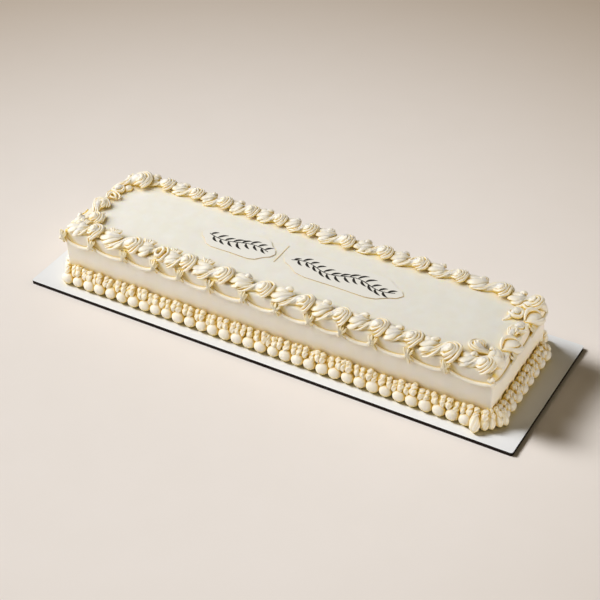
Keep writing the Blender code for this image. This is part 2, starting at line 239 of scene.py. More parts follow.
def smooth_cream():
    """Scraped cream: pale top, painted bounce on the sides, painted shade by piping, scraper bands, satin
    skin.
    """
    material, tree, shader = new_material("smooth_buttercream")
    place = add(tree, "ShaderNodeTexCoord").outputs["Object"]
    facing = add(tree, "ShaderNodeSeparateXYZ", Vector=add(tree, "ShaderNodeNewGeometry").outputs["Normal"])
    level = add(tree, "ShaderNodeMapRange", [("From Min", LEVEL_RANGE[0]), ("From Max", LEVEL_RANGE[1])],
                Value=facing.outputs["Z"])
    # Painted bounce light: the sides get a warmer white than the top
    base = add(tree, "ShaderNodeMix", [RGBA, (6, paint(SIDE_BOUNCE_WARMTH)), (7, paint(TOP_WHITE))],
               _0=level.outputs[0])
    upward = add(tree, "ShaderNodeMapping", [("Scale", (1.0, 1.0, BAND_STRETCH))], Vector=place)
    bands = add(tree, "ShaderNodeTexNoise", [("Scale", per_metre(BAND)), ("Detail", 3.0)],
                Vector=upward.outputs[0])
    toned = add(tree, "ShaderNodeMix", [RGBA, ("blend_type", "MULTIPLY"), (7, paint(BAND_TINT))],
                _0=bands.outputs["Fac"], _6=base.outputs[2])
    # Painted straw shade near the piping, then painted amber shade in corners and by the knots
    warm = add(tree, "ShaderNodeMix", [RGBA, (7, paint(STRAW_SHADE))], _0=shut_in(tree, *WALL_HOLLOW_SHADE),
               _6=toned.outputs[2])
    marked = add(tree, "ShaderNodeAttribute", [("attribute_name", "shade")])
    painted_amber = add(tree, "ShaderNodeMath", [("operation", "ADD"), ("use_clamp", True)],
                _0=marked.outputs["Fac"], _1=shut_in(tree, *WALL_CREVICE_SHADE))
    final = add(tree, "ShaderNodeMix", [RGBA, (7, paint(AMBER_SHADE))], _0=painted_amber.outputs[0],
                _6=warm.outputs[2])
    ripples = add(tree, "ShaderNodeTexNoise", [("Scale", per_metre(RIPPLE)), ("Detail", 4.0)], Vector=place)
    bump = add(tree, "ShaderNodeBump", [("Strength", 0.2), ("Distance", RIPPLE_HEIGHT * MM)],
               Height=ripples.outputs["Fac"])
    tree.links.new(final.outputs[2], shader.inputs["Base Color"])
    tree.links.new(bump.outputs["Normal"], shader.inputs["Normal"])
    set_values(shader, Roughness=0.5, IOR=1.45, Subsurface_Weight=0.25, Subsurface_Radius=(1.0, 0.8, 0.35),
               Subsurface_Scale=2.0 * MM)
    return material


SMOOTH = smooth_cream()
print("smooth buttercream:", len(SMOOTH.node_tree.nodes), "nodes")

# %% [markdown]
# ## The cake block
# The CAD solid is an exact box. Scraped icing never is: its faces swell by half a millimetre, and its
# top edge is a soft lip. A bevelled, finely divided box that a cloud texture displaces a little
# gives that, and costs few faces. Sculpting would give the same with no measure to change.

# %% Ice the cake
# Side of a cell, width and steps of the lip, and the angle in radians from which an edge gets one
CELL = 4 * MM
LIP = 3.2 * MM
LIP_SEGMENTS = 5
SHARP = 1.0
# How far the icing swells in all, the tone of the clouds that stays in place, and their size in metres
SWELL = 0.7 * MM
SWELL_MIDDLE = 0.6
CLOUD_SIZE = 0.045


def finish_piece(piece, nodes):
    """Let a piece ride on the cake's body and stand for its CAD nodes."""
    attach(piece, "root")
    if nodes:
        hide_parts(*nodes)
    return piece


def iced_block():
    """A finely divided box with a rounded lip."""
    size = cake_high - cake_low
    shape = bmesh.new()
    bmesh.ops.create_cube(shape, size=1.0)
    bmesh.ops.transform(shape, matrix=Matrix.LocRotScale((cake_low + cake_high) / 2, None, size),
                        verts=shape.verts)
    for axis in range(3):
        cells = int(size[axis] / CELL)
        for cut in range(1, cells):
            middle = Vector(cake_low)
            middle[axis] += cut * size[axis] / cells
            normal = Vector((axis == 0, axis == 1, axis == 2))
            bmesh.ops.bisect_plane(shape, geom=shape.verts[:] + shape.edges[:] + shape.faces[:],
                                   plane_co=middle, plane_no=normal)
    bmesh.ops.bevel(shape, geom=[edge for edge in shape.edges if edge.calc_face_angle(0) > SHARP],
                    offset=LIP, segments=LIP_SEGMENTS, affect="EDGES", profile=0.5)
    mesh = bpy.data.meshes.new("smooth_icing")
    shape.to_mesh(mesh)
    shape.free()
    return mesh


def apply_all(piece):
    """Replace the mesh of a piece by what its modifiers make of it."""
    bpy.context.view_layer.update()
    mesh = bpy.data.meshes.new_from_object(piece.evaluated_get(bpy.context.evaluated_depsgraph_get()))
    piece.modifiers.clear()
    piece.data = mesh


block = bpy.data.objects.new("smooth_icing", iced_block())
bpy.context.scene.collection.objects.link(block)
cloud = bpy.data.textures.new("scraper_marks", "CLOUDS")
cloud.noise_scale = CLOUD_SIZE
swell = block.modifiers.new("swell", "DISPLACE")
swell.texture = cloud
swell.texture_coords = "LOCAL"
swell.strength = SWELL
swell.mid_level = SWELL_MIDDLE
apply_all(block)
block.data.polygons.foreach_set("use_smooth", [True] * len(block.data.polygons))
block.data.materials.clear()
block.data.materials.append(SMOOTH)
finish_piece(block, ["iced_cake"])
print("smooth icing:", len(block.data.polygons), "faces")

# %% [markdown]
# ## One piped stroke
# A star nozzle leaves a rope with ridges. A curve with a bevel would give a plain tube, so the
# stroke is swept by hand: a smooth line runs through a few rows of numbers, and at each step it
# carries a ring whose radius dips between the ridges. The dip is kept on the vertices as `groove`, together
# with painted amber shade under the stroke and where its rows ask for it.

# %% Sweep a ridged stroke
# A ring gets painted amber shade below this height on it, from -1 to 1, and this fast
UNDER_SHADE_LINE, UNDER_SHADE_RISE = 0.35, 2.0
# Most painted amber shade that a groove gets
GROOVE_SHADE_MOST = 0.55
# How sharp the ridges are, and the least half width of a stroke in millimetres
RIDGE_SHARPNESS = 0.75
LEAST_HALF = 0.2


def through(rows, steps):
    """A smooth line through all columns of the rows."""
    rows = np.asarray(rows, float)
    padded = np.vstack([2 * rows[0] - rows[1], rows, 2 * rows[-1] - rows[-2]])
    at = np.linspace(0, len(rows) - 1, steps)
    start = np.minimum(at.astype(int), len(rows) - 2)
    t = (at - start)[:, None]
    a, b, c, d = (padded[start + shift] for shift in range(4))
    return 0.5 * (2 * b + (c - a) * t + (2 * a - 5 * b + 4 * c - d) * t**2 + (3 * b - a - 3 * c + d) * t**3)


def unit(vectors):
    """Vectors of length one."""
    return vectors / np.linalg.norm(vectors, axis=1)[:, None]


def tube_faces(steps, around):
    """Faces between the rings of a tube, with a fan on each end. They look outward."""
    ring = np.arange(around)
    after = np.roll(ring, -1)
    faces = []
    for step in range(steps - 1):
        low, high = step * around, (step + 1) * around
        faces.extend(np.column_stack((low + after, low + ring, high + ring, high + after)).tolist())
    last = (steps - 1) * around
    ends = steps * around
    faces.extend([ends, a, b] for a, b in zip(ring.tolist(), after.tolist()))
    faces.extend([ends + 1, last + b, last + a] for a, b in zip(ring.tolist(), after.tolist()))
    return faces


def sweep(rows, facing, ribs, steps, samples, twist=0.0, underside=UNDER_SHADE_LINE):
    """Vertices, faces and painted shade of a stroke. Rows: x, y, z, half width, half height, depth, amber
    shade.
    """
    line = through(rows, steps)
    spine, wide, tall, depth = line[:, :3], line[:, 3:4], line[:, 4:5], line[:, 5:6]
    along = unit(np.gradient(spine, axis=0))
    side = unit(np.cross(along, facing))
    over = np.cross(side, along)
    around = ribs * samples
    turn = np.linspace(0, 2 * np.pi, around, endpoint=False)[None, :]
    wander = twist * np.linspace(0, 1, steps)[:, None]
    groove = 1 - np.abs(np.cos(ribs * (turn + wander) / 2)) ** RIDGE_SHARPNESS
    reach = 1 - np.clip(depth, 0, 1) * groove
    rings = (spine[:, None] + side[:, None] * (np.maximum(wide, LEAST_HALF) * np.cos(turn) * reach)[..., None]
             + over[:, None] * (np.maximum(tall, LEAST_HALF) * np.sin(turn) * reach)[..., None])
    vertices = np.vstack([rings.reshape(-1, 3), spine[0], spine[-1]])
    # Painted shade: amber under the stroke, in its grooves and where a row asks for it
    under = np.clip((underside - np.sin(turn)) * UNDER_SHADE_RISE, 0, 1) + np.zeros((steps, 1))
    amber = line[:, 6:7] * np.clip(np.sin(turn), 0, 1) if line.shape[1] > 6 else 0.0
    marks = np.maximum(np.maximum(groove * np.clip(depth * 3, 0, GROOVE_SHADE_MOST), under), amber)
    return vertices, tube_faces(steps, around), np.append(marks.ravel(), (1, 1))


print("a stroke of 10 rings of 12 points has", len(tube_faces(10, 12)), "faces")

# %% [markdown]
# ## Strokes into a piece
# A border is hundreds of strokes. As one object each they would be slow to handle and to export, so
# all strokes of a side and kind become one mesh, still apart from each other, as on the cake.

# %% Join strokes
def make_piece(name, strokes, nodes, material=PIPED):
    """One mesh of many strokes, in place of its CAD nodes."""
    vertices, faces, grooves, first = [], [], [], 0
    for points, polygons, marks in strokes:
        vertices.append(points * MM)
        faces.extend([first + corner for corner in polygon] for polygon in polygons)
        grooves.append(marks)
        first += len(points)
    mesh = bpy.data.meshes.new(name)
    mesh.from_pydata(np.vstack(vertices).tolist(), [], faces)
    values = np.concatenate(grooves).astype(np.float32)
    # The groove attribute holds the painted shade of each stroke
    mesh.attributes.new("groove", "FLOAT", "POINT").data.foreach_set("value", values)
    mesh.polygons.foreach_set("use_smooth", [True] * len(mesh.polygons))
    mesh.materials.append(material)
    piece = bpy.data.objects.new(name, mesh)
    bpy.context.scene.collection.objects.link(piece)
    print(f"{name}: {len(strokes)} strokes, {len(mesh.loops) - 2 * len(mesh.polygons)} triangles")
    return finish_piece(piece, nodes)


print("material of a piece, unless it names one:", PIPED.name)

# %% [markdown]
# ## Where the border rests
# The border lies on the top, close to its edge, and what reaches past the edge sags over it. One
# function gives the height under any point and the way the icing faces there, so that a stroke
# is written flat and still follows the cake.

# %% Lay strokes on the cake
# How far the border sags past the edge, how far inside the edge that starts, and over what distance
DROOP = 4.0
DROOP_START = 4.0
DROOP_REACH = 10.0
STRAND_RIBS, STRAND_SAMPLES = 5, 4
STEPS_PER_ROW = 4


def resting(flat):
    """Height under points on the top, and the direction in which the icing faces there."""
    offset = flat - (MIDDLE_X, 0.0)
    outside = np.abs(offset) - (HALF_LENGTH, HALF_WIDTH)
    nearest = outside[:, 0] > outside[:, 1]
    share = np.clip((outside.max(axis=1) + DROOP_START) / DROOP_REACH, 0, 1)
    share = share * share * (3 - 2 * share)
    facing = np.column_stack((share * nearest * np.sign(offset[:, 0]),
                              share * ~nearest * np.sign(offset[:, 1]), np.ones(len(flat))))
    return TOP - DROOP * share, unit(facing)


def piped(rows, x, y, heading, size, twist):
    """Sweep rows of (along, right, up, half width, half height, depth) at a place on the top."""
    turn = math.radians(heading)
    along = np.array((math.cos(turn), math.sin(turn)))
    right = np.array((along[1], -along[0]))
    flat = np.array((x, y)) + size * (rows[:, :1] * along + rows[:, 1:2] * right)
    height, _ = resting(flat)
    placed = np.column_stack((flat, height + size * rows[:, 2], size * rows[:, 3:5], rows[:, 5]))
    steps = STEPS_PER_ROW * len(rows)
    _, facing = resting(through(placed, steps)[:, :2])
    return sweep(placed, facing, STRAND_RIBS, steps, STRAND_SAMPLES, twist)


edge_points = np.array(((0.0, 0.0), (0.0, FRONT - 2)))
print("height at the middle and 2 mm past the front edge:", resting(edge_points)[0].round(1))

# %% [markdown]
# ## Strands and lobes
# The border repeats one gesture. The tip starts low under the last petal, swells, turns round a soft
# mound and is pulled off at the edge. A ridged nozzle leaves several strands side by side. Each is a
# row of points here, so the grooves between them are as deep as in cream. Lobes are broad and low.

# %% Write down the gestures
# Rows of a strand: along, outward, up, radius
OUTER = ((-30, 8, .6, .8), (-22, 6, 2.4, 1.5), (-14.5, .4, 3.8, 1.7), (-9, -6.5, 5.4, 1.8),
         (-3.5, -11.4, 6.6, 2.1), (3.2, -12.6, 7.4, 2.2), (9.2, -8.8, 7.8, 2.2), (11.8, -1.8, 7.4, 2.2),
         (11, 5.6, 6.4, 2.1), (7.6, 11, 5.2, 1.9), (3, 13.4, 4, .8))
MIDDLE = ((-28, 10.5, .6, .8), (-21, 8.8, 2.6, 1.5), (-14, 3.4, 4.2, 1.7), (-9, -3.4, 6.2, 1.8),
          (-3.2, -8, 8, 2), (2.8, -9, 9, 2.1), (7.2, -5.8, 9.4, 2.1), (8.6, -.4, 8.8, 2.1),
          (7.6, 5.2, 7.6, 2), (4.4, 9.6, 6.2, 1.8), (.4, 11, 5, .8))
INNER = ((-26, 12.6, .6, .8), (-19, 10.8, 2.4, 1.5), (-12.5, 6, 4.6, 1.7), (-8, 0, 7, 1.8),
         (-3, -4.6, 9.2, 2), (1.6, -5.2, 10.4, 2.1), (4.6, -2.6, 10.6, 2.1), (5.4, 1.6, 9.8, 2.1),
         (3.6, 6, 8.4, 2), (-.2, 8.2, 7, 1.8), (-4.2, 7.6, 5.6, 1.4), (-6.4, 6, 4, .7))
MOUND = ((-20, 9, .8, .7), (-13, 6, 3.4, 1.5), (-7, 1.8, 6.6, 1.8), (-2.8, -1, 9.4, 2.3),
         (.4, -1.4, 10.8, 2.8), (1.6, 1.4, 10.6, 2.9), (-.2, 4.2, 9.2, 2.6), (-3.4, 4.8, 7.4, 1.8),
         (-5.4, 3.8, 5.6, .7))
FRINGE = ((-6, -12.6, 2.5, .8), (0, -15, 4, 1.7), (7, -13.4, 5, 2.1), (12.2, -7, 5, 2.2), (13, 0, 4, 2),
          (11.8, 6, 2.8, .8))
BODY = ((-24, 8, -.5, 1.5), (-15, 5, .6, 3.4), (-8, 1, 2.4, 4.8), (-1, -1, 3.6, 7.6), (4.6, 0, 3, 6.6),
        (7, 2, 1.6, 3))
RING = ((-18, 3, 1, .7), (-11, -1, 5, 1.7), (-5, -6.4, 7, 2.1), (0, -8.6, 8, 2.4), (4, -5.6, 8, 2.5),
        (5, .6, 7.4, 2.5), (3.2, 6.4, 6.4, 2.5), (-.8, 8.2, 5.8, 2.4), (-4, 4.8, 6, 2.2),
        (-4.4, -.6, 6.8, 2), (-2.4, -4.4, 7, 1.4), (-.4, -5, 6.6, .6))

# Rows of a lobe: along, outward, up, half width, half height
LEAVES = (((-6, 10.5, 0, 2, 1.2), (-3, 10, 1.4, 4.8, 2.4), (2, 8.4, 2.8, 5.4, 2.9), (8, 4.6, 4, 3.8, 2.6),
           (13, -.5, 4.6, .8, .8)),
          ((-13, 4, 2.6, 2.6, 1.8), (-7, 4.4, 3.4, 5.6, 2.9), (0, 3.2, 4.4, 6.4, 3.2),
           (7, .4, 5.2, 4.4, 2.9), (14, -3, 5, .8, .8)),
          ((-14, -4, 2.8, 2.8, 2), (-7.4, -4.4, 3.8, 5.6, 3.1), (-.5, -3.4, 5, 6.2, 3.4),
           (6, -3.2, 5.8, 4, 2.8), (12, -4.6, 5, .8, .8)))
BALL = ((2, -4.4, 5.4, 2.8, 2.6), (4.4, -6, 7, 3.8, 3.6), (6.8, -7, 7.4, 4, 3.9), (8.8, -7.4, 7, 3.2, 3.2),
        (10.4, -7.6, 6.4, .8, .8))
print("points of the outer strand:", len(OUTER), "and lobes of a petal:", len(LEAVES))

# %% [markdown]
# ## Scrolls, rings and petals
# The same rows, stamped again and again, would look moulded. So each stroke gets rows of its own that
# wander a little, as a hand does. A petal of folded lobes is laid against each scroll. It ends in a
# small ball, or in a crown of short pulls.

# %% Pipe by hand
# Points before this place along the border belong to the tail of a stroke
TAIL_START = -6.0
STRAND_HEIGHT = 1.2
FINGERS = 5
FRINGE_SHARE = 0.6
RING_SIZE = 0.86


def by_hand(rows, drift=0.5, change=0.06):
    """The same rows as a hand would pipe them: places and widths wander a little."""
    rows = np.array(rows, float)
    rows[:, :3] += rng.normal(0, drift, (len(rows), 3)) * (1, 1, 0.6)
    rows[:, 3:] *= 1 + rng.normal(0, change, (len(rows), 1))
    return rows


def bundle(strands, place, size=1.0, stretch=1.0, depth=0.1, drift=0.5):
    """Strokes of several strands at a place: x, y and heading. A long pitch stretches their tails."""
    strokes = []
    for strand in strands:
        rows = by_hand(strand, drift)
        rows[:, 0] *= np.where(rows[:, 0] < TAIL_START, stretch, 1.0)
        tall = rows[:, 4] if rows.shape[1] > 4 else STRAND_HEIGHT * rows[:, 3]
        rows = np.column_stack((rows[:, :4], tall, np.full(len(rows), depth)))
        strokes.append(piped(rows, *place, size, rng.uniform(-1, 1)))
    return strokes


def scroll(x, y, heading, size=1.0, stretch=1.0):
    """Nested strands that turn round a mound. Some have a fringe outside."""
    place = (x, y, heading + rng.uniform(-5, 5))
    strands = [OUTER, MIDDLE, INNER, MOUND] + [FRINGE] * (rng.random() < FRINGE_SHARE)
    return bundle([BODY], place, size, stretch, 0) + bundle(strands, place, size, stretch)


def ring(x, y, heading, size=1.0, stretch=1.0):
    """A long loop of two strands that leaves a hole."""
    return bundle([RING, OUTER], (x, y, heading), RING_SIZE * size, stretch)


def petal(x, y, heading, size=1.0, stretch=1.0, end="ball"):
    """A broad petal of folded lobes with a beak over the next tail. It ends in a ball or in a crown."""
    place = (x, y, heading + rng.uniform(-6, 6))
    lobes = [np.array(leaf) * (stretch, 1, 1, 1, 1) for leaf in LEAVES] + [BALL] * (end == "ball")
    strokes = bundle(lobes, place, size, depth=0.06, drift=0.8)
    if end == "crown":
        fan = [((-1 + 1.4 * finger, -4, 5.5, 1.6), (-4 + 3 * finger, -8.4, 8, 1.9),
                (-6.4 + 4.2 * finger, -12.4 + abs(finger - 2), 8.6, .7)) for finger in range(FINGERS)]
        strokes += bundle(fan, place, size, drift=0.4)
    return strokes


def from_table(table):
    """Strokes of the pieces in a table: kind, x, y, heading, size and, if given, stretch."""
    strokes = []
    for kind, *place in table:
        strokes += kind(*place)
    return strokes


print("strands turn from", OUTER[0][0], "to", OUTER[-1][0], "mm along the border")

# %% [markdown]
# ## The long sides
# Each side holds twelve scrolls. An even pitch would look like a machine's, so their places are read
# from the real border. The first petals of the front end in crowns, and one of its heads is a ring.

# %% Pipe the long sides
FRONT_HEADS = (-261, -200, -160, -120, -67, -8, 48, 98, 146, 190, 238)
BACK_HEADS = (-240, -194, -150, -109, -67, -22, 31, 84, 133, 186, 243)
FRONT_START, BACK_START = -298, -282
# Distance of the scrolls from the edge, and the pitch for which their rows are written
INSET = 9.5
PITCH = 48.0
PETAL_BACK = 3.0
PETAL_SHARE = 0.43
PETAL_STRETCH = 0.7
FRONT_CORNER = ((petal, 262, -67, 0, 0.9), (scroll, 282, -70, -4, 0.95))
BACK_CORNER = ((petal, 266, 64, 0, 0.9), (scroll, 287, 63, -10, 0.9))


def border_side(heads, start, across, size=1.0, crowns=0, rings=()):
    """The petals and scrolls of a long side; the first few petals end in a crown."""
    strokes = []
    for number, (before, head) in enumerate(zip((start, *heads), heads)):
        stretch = (head - before) / PITCH
        end = "crown" if number < crowns else "ball"
        strokes += petal(before + PETAL_SHARE * (head - before), across + PETAL_BACK, 0,
                         size * rng.uniform(0.94, 1.04), stretch**PETAL_STRETCH, end)
        kind = ring if head in rings else scroll
        strokes += kind(head, across + rng.normal(0, 0.8), 0, size * rng.uniform(0.94, 1.06), stretch / size)
    return strokes


front_strokes = border_side(FRONT_HEADS, FRONT_START, FRONT + INSET, 1.0, 5, (-160,))
make_piece("piped_border_front", front_strokes + from_table(FRONT_CORNER), ["top_border_front"])
back_strokes = border_side(BACK_HEADS, BACK_START, BACK - INSET, 0.9)
make_piece("piped_border_back", back_strokes + from_table(BACK_CORNER), ["top_border_back"])

# %% [markdown]
# ## The ends of the cake
# The short sides are freer. Scrolls reach inward at the front corners, and a large one crosses the left
# rear corner. On the right, domes, rosettes and two smooth crescents hang over the edge. No rule
# makes that, so two tables say what stands where. A crescent is a shallow dish between two lips.

# %% Pipe the two ends
DOME = ((-8, 2, -3, 3, 3), (-5, 1, 2, 7, 6), (0, 0, 3.6, 9, 7.4), (5, -1, 2.4, 7, 6), (8.5, -2, -2, 2.5, 2.5))
DISH = ((-11, 0, 0, .8, .6), (-6, .6, 1.2, 4.4, 1.7), (0, 1.4, 1.6, 6.4, 2), (6, 2.6, .4, 5, 1.8),
        (11, 4.4, -2, .8, .6))
OUTER_LIP = ((-11, 0, .4, .8), (-7.4, 5, 1.4, 1.8), (-1, 8.4, 1, 2.6), (5.6, 8.6, -.6, 2.4),
             (10.8, 5.4, -2, .9))
INNER_LIP = ((-11, 0, 1, .7), (-6.6, -3.6, 3.6, 1.5), (0, -4.6, 4.4, 2), (6.6, -1.8, 3, 1.6),
             (10.8, 3.4, -.6, .7))
ROSETTE = ((-1, 0, 6.4, .8), (1.6, .6, 6.8, 1.4), (1.2, 3, 6.2, 1.7), (-2.4, 2.8, 6.2, 1.9),
           (-3.6, -1.4, 6.6, 2.1), (.4, -4.6, 6.6, 2.3), (5.4, -2.4, 6, 2.4), (6.4, 3.6, 5, 2.5),
           (1.6, 8, 4.2, 2.5), (-5, 6.4, 4, 2.5), (-8.6, .4, 3.6, 2.4), (-8, -6, 3, 1.8), (-5, -9.4, 2, .8))
ROSETTE_BODY = 0.8


def dome(x, y, heading, size=1.0, stretch=1.0):
    """A soft round mound with faint ridges."""
    return bundle([DOME], (x, y, heading), size, stretch, 0.04, 0.4)


def crescent(x, y, heading, size=1.0, stretch=1.0):
    """A smooth dish between a thick outer lip and a thin inner one."""
    return bundle([DISH, OUTER_LIP, INNER_LIP], (x, y, heading), size, stretch, 0.02, 0.3)


def rosette(x, y, heading, size=1.0, stretch=1.0):
    """A spiral from the middle outward, on a low body."""
    body = bundle([BODY], (x, y, heading), ROSETTE_BODY * size, 1, 0)
    return body + bundle([ROSETTE], (x, y, heading), size, stretch, 0.12, 0.3)


LEFT_END = ((petal, -287, -69, 40, 0.85, 1.0), (petal, -291, -52, 95, 0.75, 0.9),
            (scroll, -277, -43, 14, 0.85, 1.2), (petal, -276, -35, 10, 0.6, 1.2),
            (scroll, -289, -12, 80, 0.85, 1.0), (ring, -287, 11, 70, 0.8, 1.2),
            (rosette, -290, 30, 60, 0.85, 1.0), (dome, -281, 38, 60, 0.6, 1.0),
            (petal, -288, 54, 80, 0.7, 1.0), (scroll, -274, 57, 24, 1.15, 1.1),
            (petal, -262, 66, 10, 0.7, 1.0))
RIGHT_END = ((scroll, 264, -43, 150, 0.85, 1.0), (petal, 286, -46, 100, 0.75, 1.0),
             (dome, 293, -58, 0, 0.9, 1.0), (crescent, 291, -19, 76, 1.3, 1.0),
             (scroll, 288, 3, 78, 0.62, 1.2), (rosette, 291, 12, 60, 0.95, 1.0),
             (rosette, 277, 36, 40, 0.95, 1.0), (crescent, 294, 42, 74, 1.25, 1.0),
             (dome, 295, 64, 0, 0.8, 1.0), (rosette, 284, 56, 0, 0.8, 1.0))
make_piece("piped_border_left", from_table(LEFT_END), ["top_border_left"])
make_piece("piped_border_right", from_table(RIGHT_END), ["top_border_right"])

# %% [markdown]
# ## Swags and knots
# Below the border hang ropes. Each starts thin under one knot, and runs out thick and pale under the
# next. A knot is a tuft of short tapering pulls that cross at its waist. Both are strokes on a wall,
# so one function turns rows of along, out and height into strokes on any side of the cake.

# %% Ropes and knots
# Rows of a rope: share of the way, height, radius
ROPE = ((0.0, 68.5, 1.3), (0.12, 64.6, 2.0), (0.3, 61, 2.5), (0.55, 59.8, 2.8), (0.8, 61.4, 2.8),
        (1.0, 66, 2.2))
ROPE_OUT = 0.6
# Rows of a pull: share of the way down, radius
PULL = ((0, 1.1), (0.25, 1.7), (0.5, 1.9), (0.78, 1.7), (1, 0.5))
PULLS = 7
PULL_SPREAD = 2.0
PULL_BULGE = 2.6
PULL_RIDGE = 0.25
KNOT_TOP, KNOT_FOOT = 77.5, 61.0
# Painted amber shade on the pulls, and how much more the right-hand ones get, away from the light
KNOT_SHADE, KNOT_MORE_SHADE = 0.3, 0.5
DOT_HALF, DOT_TIP = 3, 0.6


def wall(x, y, looks):
    """A wall: its middle, the direction along it and the direction in which it looks, in degrees."""
    turn = math.radians(looks)
    along = np.array((-math.sin(turn), math.cos(turn)))
    return np.array((x, y)), along, np.array((math.cos(turn), math.sin(turn)))


def on_wall(rows, side, ribs, steps, samples, flatness=1.0, **settings):
    """A stroke from rows of along, out from the wall, height, radius, ridge depth and, if given, painted
    amber shade.
    """
    middle, along, out = side
    rows = np.asarray(rows, float)
    flat = middle + rows[:, :1] * along + rows[:, 1:2] * out
    placed = np.column_stack((flat, rows[:, 2], rows[:, 3], flatness * rows[:, 3], rows[:, 4:]))
    return sweep(placed, np.array((*out, 0.001)), ribs, steps, samples, **settings)


def rope(start, end, side):
    """One hanging rope between two knots."""
    sag = rng.normal(0, 0.5)
    rows = [(start + share * (end - start), ROPE_OUT, high + sag * share, radius, 0.0)
            for share, high, radius in ROPE]
    return on_wall(rows, side, 3, 26, 4, underside=-1)


def knot(spot, side, size=1.0):
    """A tuft of pulls that cross each other at its waist, with more painted amber shade to the right."""
    strokes = []
    for number in range(PULLS):
        place = size * (number - (PULLS - 1) / 2)
        top, low = (place * PULL_SPREAD + rng.normal(0, 0.7) for _ in range(2))
        high = KNOT_TOP + rng.normal(0, 1)
        foot = KNOT_FOOT + rng.normal(0, 1.6)
        amber = KNOT_SHADE + KNOT_MORE_SHADE * number / PULLS
        offsets = (top, 0.7 * top, 0.4 * place, 0.8 * low, low)
        rows = [(spot + offset, ROPE_OUT + rng.uniform(0, 0.8) + PULL_BULGE * math.sin(math.pi * share),
                 high + (foot - high) * share, radius, PULL_RIDGE, amber)
                for offset, (share, radius) in zip(offsets, PULL)]
        strokes.append(on_wall(rows, side, 3, 16, 4, underside=0.0))
    return strokes


def dot(spot, out, high, radius, side):
    """A small upright dot of cream on a wall."""
    rows = [(spot, out, high + DOT_HALF, DOT_TIP, 0), (spot, out + 1, high, radius, 0),
            (spot, out, high - DOT_HALF, DOT_TIP, 0)]
    return on_wall(rows, side, 3, 12, 4)


print("a rope sags", round(ROPE[0][1] - min(row[1] for row in ROPE), 1), "mm")

# %% [markdown]
# ## Swags on four sides
# The knots of the long sides stand where the real ones do. A smaller tuft sits on the left front corner,
# and five dots on the right one. The wall beside each knot lies in amber shade. Light alone would not
# make it so warm, so the shade is written on the vertices of the icing.

# %% Hang the swags
LONG_KNOTS = (-256, -206, -160, -122, -78, -29, 17, 63, 106, 147, 194, 241)
SHORT_KNOTS = (-27, 29)
CORNER_TUFT = 0.8
# Dots on the right front corner: along, out, height, radius
CORNER_DOTS = ((-4, 1, 71.5, 2.9), (0, 2, 75, 3.1), (1.4, 2, 69.4, 3.2), (-1.6, 1.6, 66, 2.4),
               (-2, 2.4, 72, 2.6))
LIP_REACH = 3.0
# Heights of the shade; then where it starts beside a knot, how far it runs out, its width and its fading
SHADE_TOP, SHADE_FOOT = 79.0, 61.0
SHADE_START, SHADE_RUN, SHADE_WIDTH, SHADE_FADE = 1.0, 15.0, 4.4, 0.4
WALLS = {"front": wall(MIDDLE_X, FRONT, -90), "back": wall(MIDDLE_X, BACK, 90), "left": wall(LEFT, 0, 180),
         "right": wall(RIGHT, 0, 0)}
SPOTS = {"front": (-HALF_LENGTH, *LONG_KNOTS, HALF_LENGTH),
         "back": (-HALF_LENGTH, *(-spot for spot in reversed(LONG_KNOTS)), HALF_LENGTH),
         "left": (-HALF_WIDTH, *SHORT_KNOTS, HALF_WIDTH), "right": (-HALF_WIDTH, *SHORT_KNOTS, HALF_WIDTH)}


def swag_side(spots, side, corners):
    """The ropes and knots of one side, with the tuft and the dots of its corners."""
    strokes = [rope(start, end, side) for start, end in zip(spots[:-1], spots[1:])]
    for spot in spots[1:-1]:
        strokes += knot(spot, side)
    if corners:
        strokes += knot(spots[0], side, CORNER_TUFT)
        for along, out, high, radius in CORNER_DOTS:
            strokes.append(dot(spots[-1] + along, out, high, radius, side))
    return strokes


def shade_beside_knots():
    """Mark on the vertices of the icing where the wall to the right of a knot lies in amber shade."""
    points = np.array([vertex.co for vertex in block.data.vertices]) / MM
    high = points[:, 2]
    share = np.clip((SHADE_TOP - high) / (SHADE_TOP - SHADE_FOOT), 0, 1)
    shade = np.zeros(len(points))
    for name, (middle, along, out) in WALLS.items():
        flat = points[:, :2] - middle
        near = (np.abs(flat @ out) < LIP_REACH) * (high > SHADE_FOOT)
        for start in SPOTS[name][:-1]:
            away = flat @ along - start - SHADE_START - SHADE_RUN * share
            shade = np.maximum(shade, near * np.exp(-(away / SHADE_WIDTH) ** 2) * (1 - share) ** SHADE_FADE)
    values = shade.astype(np.float32)
    block.data.attributes.new("shade", "FLOAT", "POINT").data.foreach_set("value", values)
    print("shaded vertices:", int((shade > 0.2).sum()), "of", len(shade))


for name, side in WALLS.items():
    strokes = swag_side(SPOTS[name], side, name == "front")
    make_piece(f"piped_swags_{name}", strokes, [f"swags_{name}"])
shade_beside_knots()

# %% [markdown]
# ## Beads and shells of the base
# Two rows close the joint between cake and board. The lower row is round beads from a plain nozzle,
# pulled up to the wall. A sphere would miss that pull, so a bead is a short stroke: the rings of a ball,
# then a tip. The upper row is small twisted shells from a star nozzle.

# %% Beads and shells
BEAD_MIDDLE = (12.2, 7.2)
BEAD_RADIUS = 8.8
BEAD_LEAN = (-0.66, 0.75)
BEAD_FLATNESS = 0.84
BEAD_SQUASH = 0.86
BALL_START, BALL_END, BALL_RINGS = 0.06, 0.75 * math.pi, 9
BEAD_TIP = ((0.92, 0.42), (1.12, 0.2), (1.3, 0.06))
# Rows of a shell: out from the wall, above the board, radius
SHELL = ((2.4, 23, 0.8), (3.4, 22, 3.3), (4.8, 20.2, 4.2), (6.8, 18, 3.5), (8.8, 16.4, 4.5),
         (11.4, 14.4, 3.4), (13.4, 13, .8))
SHELL_LEAN = (-1, -1, -0.8, -0.4, 0.2, 1.0, 2.0)
SHELL_RIDGE = 0.28


